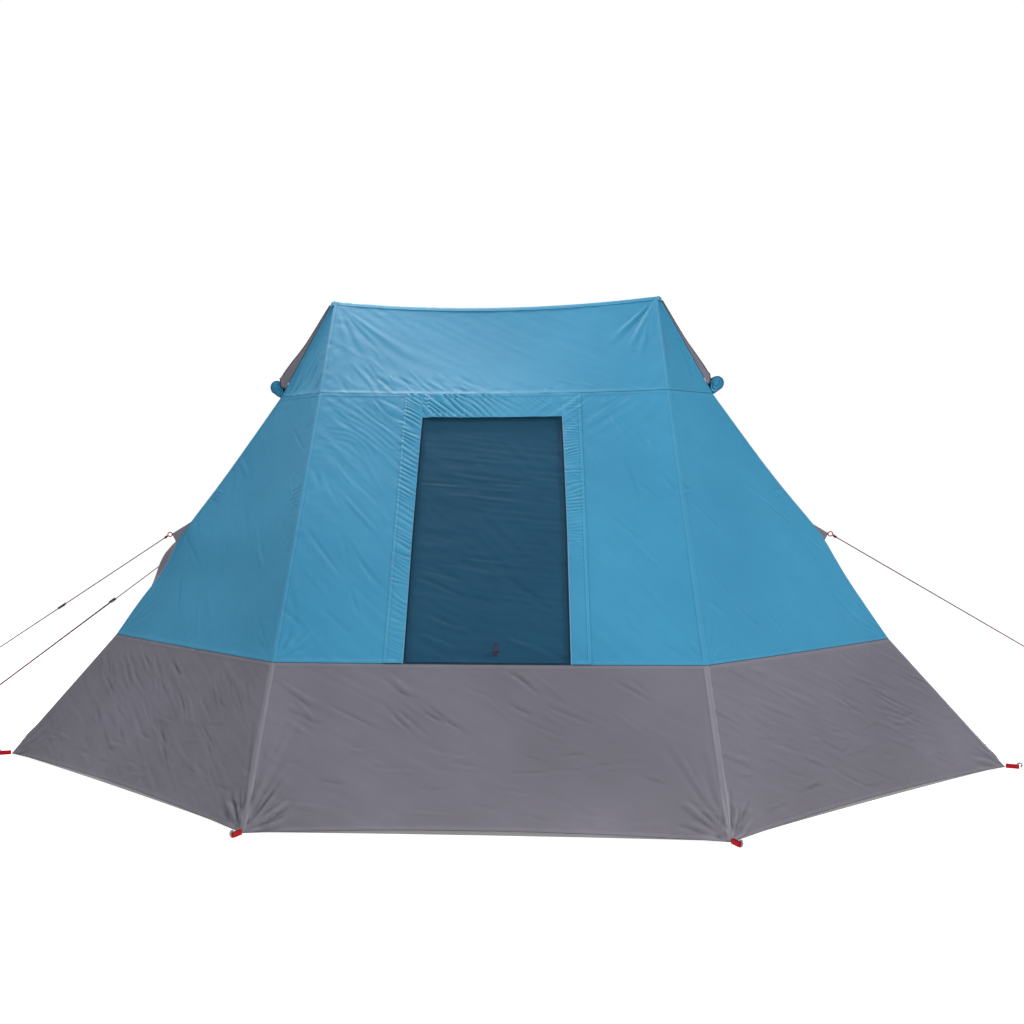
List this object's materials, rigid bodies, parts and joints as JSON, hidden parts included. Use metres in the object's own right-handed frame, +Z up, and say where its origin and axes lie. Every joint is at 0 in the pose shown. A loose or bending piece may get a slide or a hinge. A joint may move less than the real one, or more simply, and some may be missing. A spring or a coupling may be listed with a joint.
{
  "type": "two-peak pole tent",
  "caption": "Blue and grey family tent with a ridge between two pole-held peaks, an eight-sided pegged base, a screened window, a zipped door, hooded vents and guy lines.",
  "frame": {"origin": "on the ground, at the middle of the tent's base", "axes": "+X along the ridge to the right of the window side, +Y from the window side to the door side, +Z up"},
  "size_m": [6.4339, 3.7908, 2.255],
  "materials": {
    "blue_cloth": "matte",
    "grey_cloth": "matte",
    "facing_cloth": "matte",
    "insect_mesh": "matte",
    "curtain_cloth": "matte",
    "ground_cloth": "matte",
    "zip_tape": "matte",
    "zip_metal": "satin",
    "tie_cord": "matte",
    "pole_steel": "satin",
    "foot_rubber": "matte",
    "spigot_plastic": "satin",
    "red_webbing": "matte",
    "guy_cord": "matte",
    "runner_plastic": "satin",
    "peg_steel": "satin"
  },
  "bodies": {
    "tent": {"groundsheet": "ground_cloth", "skirt_front": "grey_cloth", "skirt_end_left": "grey_cloth", "skirt_end_right": "grey_cloth", "skirt_back_left": "grey_cloth", "skirt_back_right": "grey_cloth", "door_sill": "grey_cloth", "door_header": "blue_cloth", "wall_end_left": "grey_cloth", "wall_end_right": "grey_cloth", "wall_back_left": "blue_cloth", "wall_back_right": "blue_cloth", "wall_front_left": "blue_cloth", "wall_front_right": "blue_cloth", "window_facing_sides": "facing_cloth", "window_facing_top": "facing_cloth", "window_mesh": "insect_mesh", "vent_mesh_left": "insect_mesh", "vent_mesh_right": "insect_mesh", "roof_front": "blue_cloth", "roof_back": "blue_cloth", "roof_corners": "blue_cloth", "ridge_tape": "blue_cloth", "peak_caps": "blue_cloth", "vent_hood_left": "grey_cloth", "vent_hood_right": "grey_cloth", "curtain_zip_track": "zip_tape", "door_zip_track": "zip_tape", "tie_backs": "tie_cord", "pole_lower_sections": "pole_steel", "pole_middle_sections": "pole_steel", "pole_upper_sections": "pole_steel", "pole_ferrules": "pole_steel", "pole_feet": "foot_rubber", "pole_spigots": "spigot_plastic", "guy_patches": "grey_cloth", "guy_loops": "red_webbing", "guy_line_front_left": "guy_cord", "guy_line_back_left": "guy_cord", "guy_line_front_right": "guy_cord", "guy_pegs": "peg_steel", "corner_loops": "red_webbing", "corner_pegs": "peg_steel", "skirt_corner_front_left": "grey_cloth", "skirt_corner_front_right": "grey_cloth", "skirt_corner_back_left": "grey_cloth", "skirt_corner_back_right": "grey_cloth", "wall_corner_front_left": "blue_cloth", "wall_corner_front_right": "blue_cloth", "wall_corner_back_left": "blue_cloth", "wall_corner_back_right": "blue_cloth"},
    "window_curtain": {"window_curtain": "curtain_cloth"},
    "curtain_zip_slider": {"curtain_zip_slider": "zip_metal"},
    "door_flap": {"door_flap": "blue_cloth"},
    "door_zip_slider": {"door_zip_slider": "zip_metal"},
    "vent_cover_left": {"vent_cover_left": "blue_cloth"},
    "vent_cover_right": {"vent_cover_right": "blue_cloth"},
    "runner_front_left": {"guy_runner_front_left": "runner_plastic"},
    "runner_back_left": {"guy_runner_back_left": "runner_plastic"},
    "runner_front_right": {"guy_runner_front_right": "runner_plastic"}
  },
  "joints": [
    {"name": "curtain_drop", "type": "hinge", "parent": "tent", "child": "window_curtain", "pos_m": [0, -1.34155, 0.588], "axis": [-1, 0, 0], "range_deg": [0, 70]},
    {"name": "curtain_zip", "type": "slide", "parent": "tent", "child": "curtain_zip_slider", "axis": [0, 0.6305, 0.7762], "range_m": [0, 1.36]},
    {"name": "door_swing", "type": "hinge", "parent": "tent", "child": "door_flap", "pos_m": [-0.4185, 1.74135, 0.11689], "axis": [0, -0.6305, 0.7762], "range_deg": [0, 150]},
    {"name": "door_zip", "type": "slide", "parent": "tent", "child": "door_zip_slider", "axis": [0, -0.6305, 0.7762], "range_m": [0, 1.86]},
    {"name": "vent_cover_left_drop", "type": "hinge", "parent": "tent", "child": "vent_cover_left", "pos_m": [-1.0785, 0, 1.7425], "axis": [0, -1, 0], "range_deg": [0, 65]},
    {"name": "vent_cover_right_drop", "type": "hinge", "parent": "tent", "child": "vent_cover_right", "pos_m": [1.0785, 0, 1.7425], "axis": [0, 1, 0], "range_deg": [0, 65]},
    {"name": "runner_front_left_slide", "type": "slide", "parent": "tent", "child": "runner_front_left", "axis": [-0.8084, -0.1981, -0.5543], "range_m": [0, 0.4]},
    {"name": "runner_back_left_slide", "type": "slide", "parent": "tent", "child": "runner_back_left", "axis": [-0.8068, 0.2046, -0.5543], "range_m": [0, 0.4]},
    {"name": "runner_front_right_slide", "type": "slide", "parent": "tent", "child": "runner_front_right", "axis": [0.8298, -0.2101, -0.5171], "range_m": [0, 0.3]}
  ]
}
